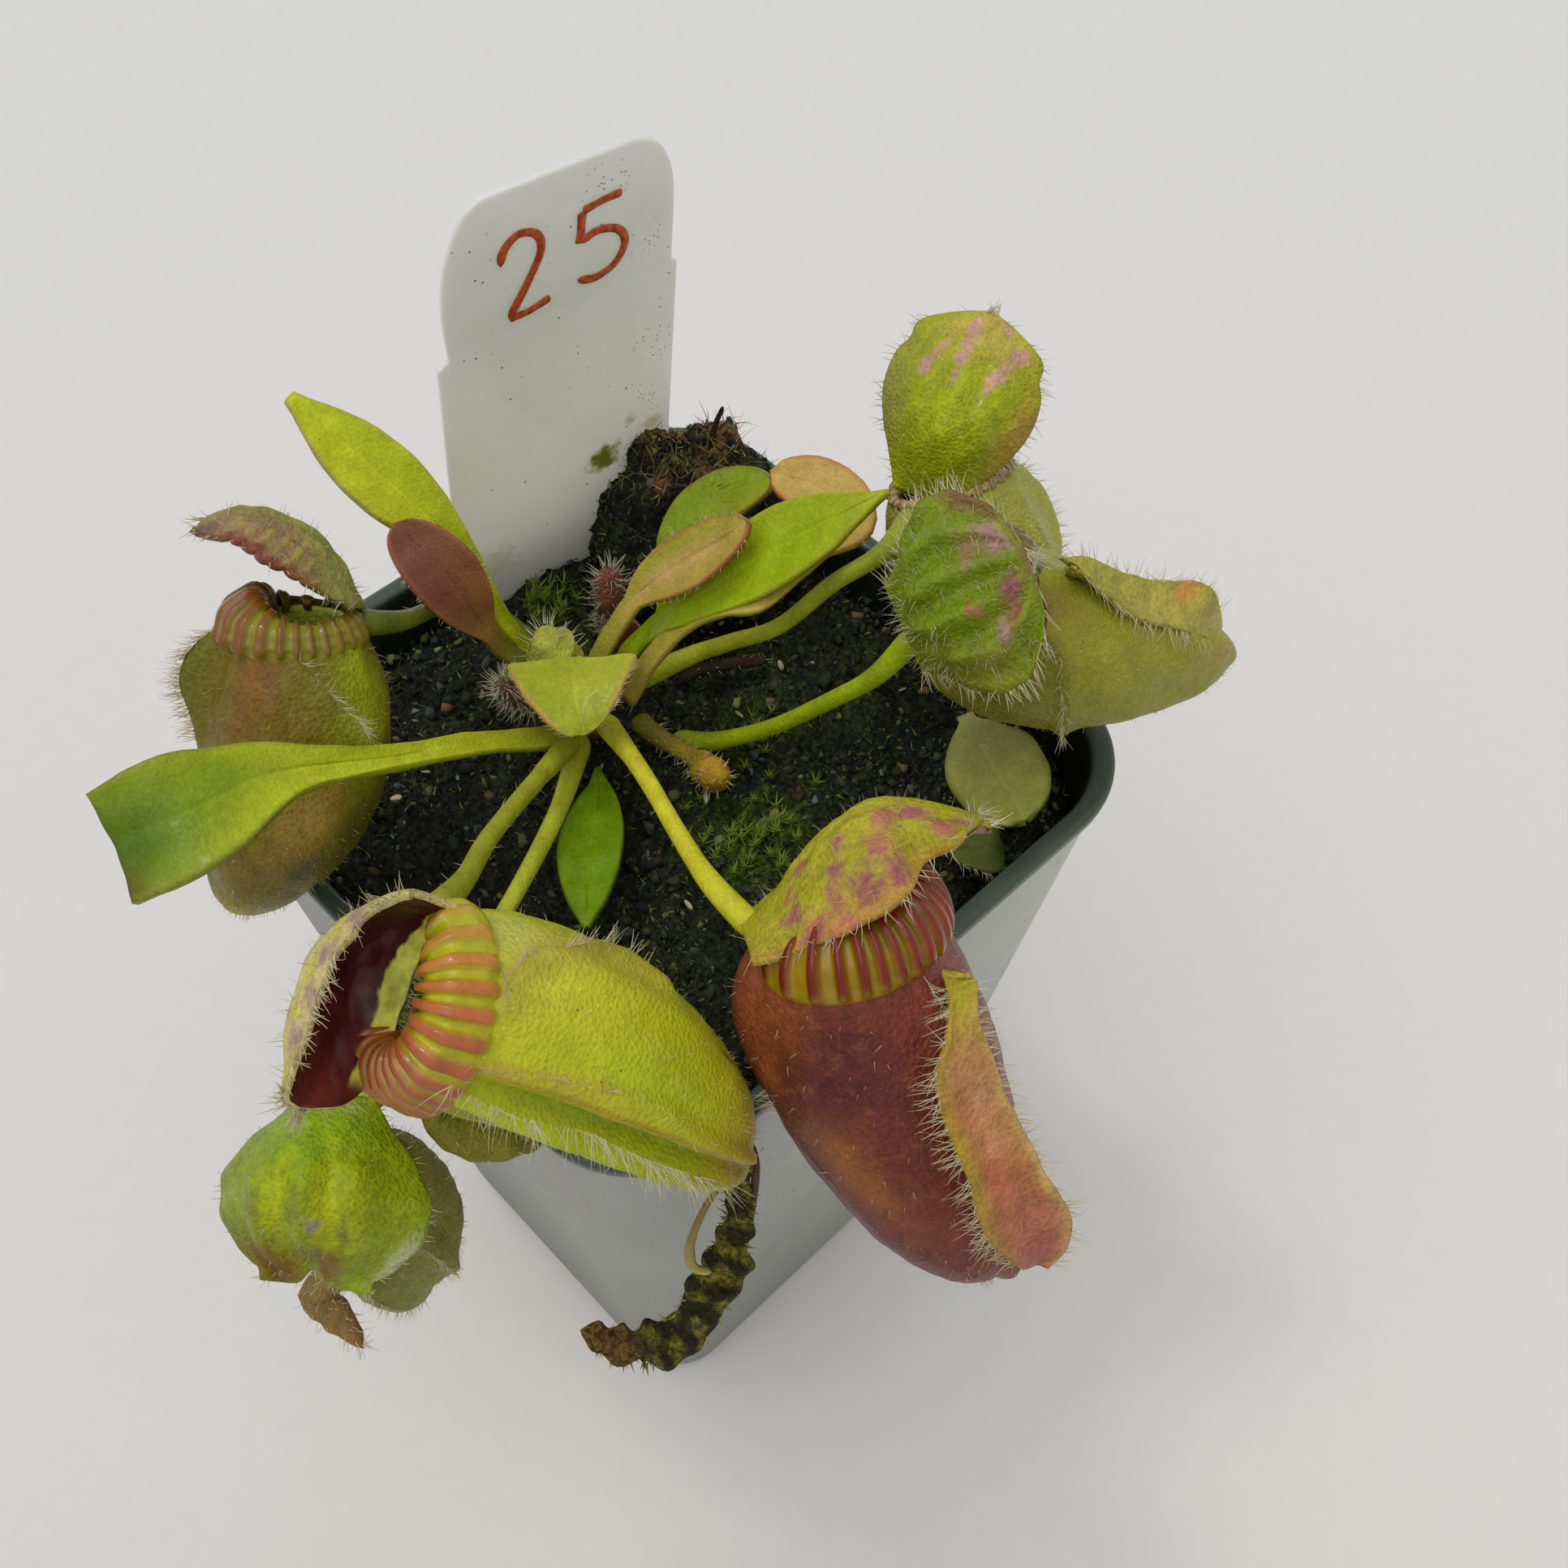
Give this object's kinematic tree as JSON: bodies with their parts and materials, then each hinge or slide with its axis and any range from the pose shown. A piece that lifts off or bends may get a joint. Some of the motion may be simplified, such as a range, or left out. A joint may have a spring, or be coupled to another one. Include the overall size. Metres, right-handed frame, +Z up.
{
  "type": "potted pitcher plant",
  "caption": "Small square plastic pot with a rosette of lidded slipper-shaped pitchers on thin stalks, flat oval leaves, mossy soil and an upright plant label.",
  "frame": {"origin": "centre of the pot's base on the surface it stands on", "axes": "+Z up out of the pot; X and Y square to the pot's sides; the plant's front is towards -X and -Y"},
  "size_m": [0.0873, 0.0805, 0.1239],
  "materials": {
    "pot_plastic": "satin dark green",
    "black_peat": "rough and damp",
    "moss_peat": "rough",
    "white_plastic": "satin",
    "crown_skin": "soft",
    "red_skin": "satin leaf",
    "red_lid_skin": "satin leaf",
    "front_skin": "satin leaf",
    "front_lid_skin": "satin leaf",
    "lower_left_skin": "satin leaf",
    "lower_left_lid_skin": "satin leaf",
    "left_skin": "satin leaf",
    "left_lid_skin": "satin leaf",
    "top_right_skin": "satin leaf",
    "top_right_lid_skin": "satin leaf",
    "right_skin": "satin leaf",
    "right_lid_skin": "satin leaf",
    "stalk_skin": "satin leaf",
    "upper_left_leaf_skin": "satin leaf",
    "long_left_leaf_skin": "satin leaf",
    "purple_leaf_skin": "satin leaf",
    "young_leaf_skin": "satin leaf",
    "long_green_leaf_skin": "satin leaf",
    "bronze_leaf_skin": "satin leaf",
    "round_leaf_skin": "satin leaf",
    "peach_leaf_skin": "satin leaf",
    "front_leaf_skin": "satin leaf",
    "pale_leaf_skin": "satin leaf",
    "small_hairy_leaf_skin": "satin leaf",
    "tiny_red_leaf_skin": "satin leaf",
    "young_pitcher_skin": "soft",
    "purple_bud_skin": "soft",
    "white_bud_skin": "soft",
    "stolon_skin": "soft",
    "hanging_strand_skin": "soft",
    "black_twig_skin": "soft",
    "brown_root_skin": "soft"
  },
  "bodies": {
    "root": {"pot": "pot_plastic", "soil": "black_peat", "moss_mound": "moss_peat", "plant_tag": "white_plastic", "crown": "crown_skin", "red_cup": "red_skin", "red_lid": "red_lid_skin", "front_cup": "front_skin", "front_lid": "front_lid_skin", "lower_left_cup": "lower_left_skin", "lower_left_lid": "lower_left_lid_skin", "left_cup": "left_skin", "left_lid": "left_lid_skin", "top_right_cup": "top_right_skin", "top_right_lid": "top_right_lid_skin", "right_cup": "right_skin", "right_lid": "right_lid_skin", "red_stalk": "stalk_skin", "front_stalk": "stalk_skin", "lower_left_stalk": "stalk_skin", "left_stalk": "stalk_skin", "top_right_stalk": "stalk_skin", "right_stalk": "stalk_skin", "upper_left_leaf": "upper_left_leaf_skin", "long_left_leaf": "long_left_leaf_skin", "purple_leaf": "purple_leaf_skin", "young_leaf": "young_leaf_skin", "long_green_leaf": "long_green_leaf_skin", "bronze_leaf": "bronze_leaf_skin", "round_leaf": "round_leaf_skin", "peach_leaf": "peach_leaf_skin", "front_leaf": "front_leaf_skin", "pale_leaf": "pale_leaf_skin", "small_hairy_leaf": "small_hairy_leaf_skin", "tiny_red_leaf": "tiny_red_leaf_skin", "young_pitcher": "young_pitcher_skin", "purple_bud": "purple_bud_skin", "white_bud": "white_bud_skin", "stolon": "stolon_skin", "hanging_strand": "hanging_strand_skin", "black_twig": "black_twig_skin", "brown_root": "brown_root_skin"}
  },
  "joints": []
}
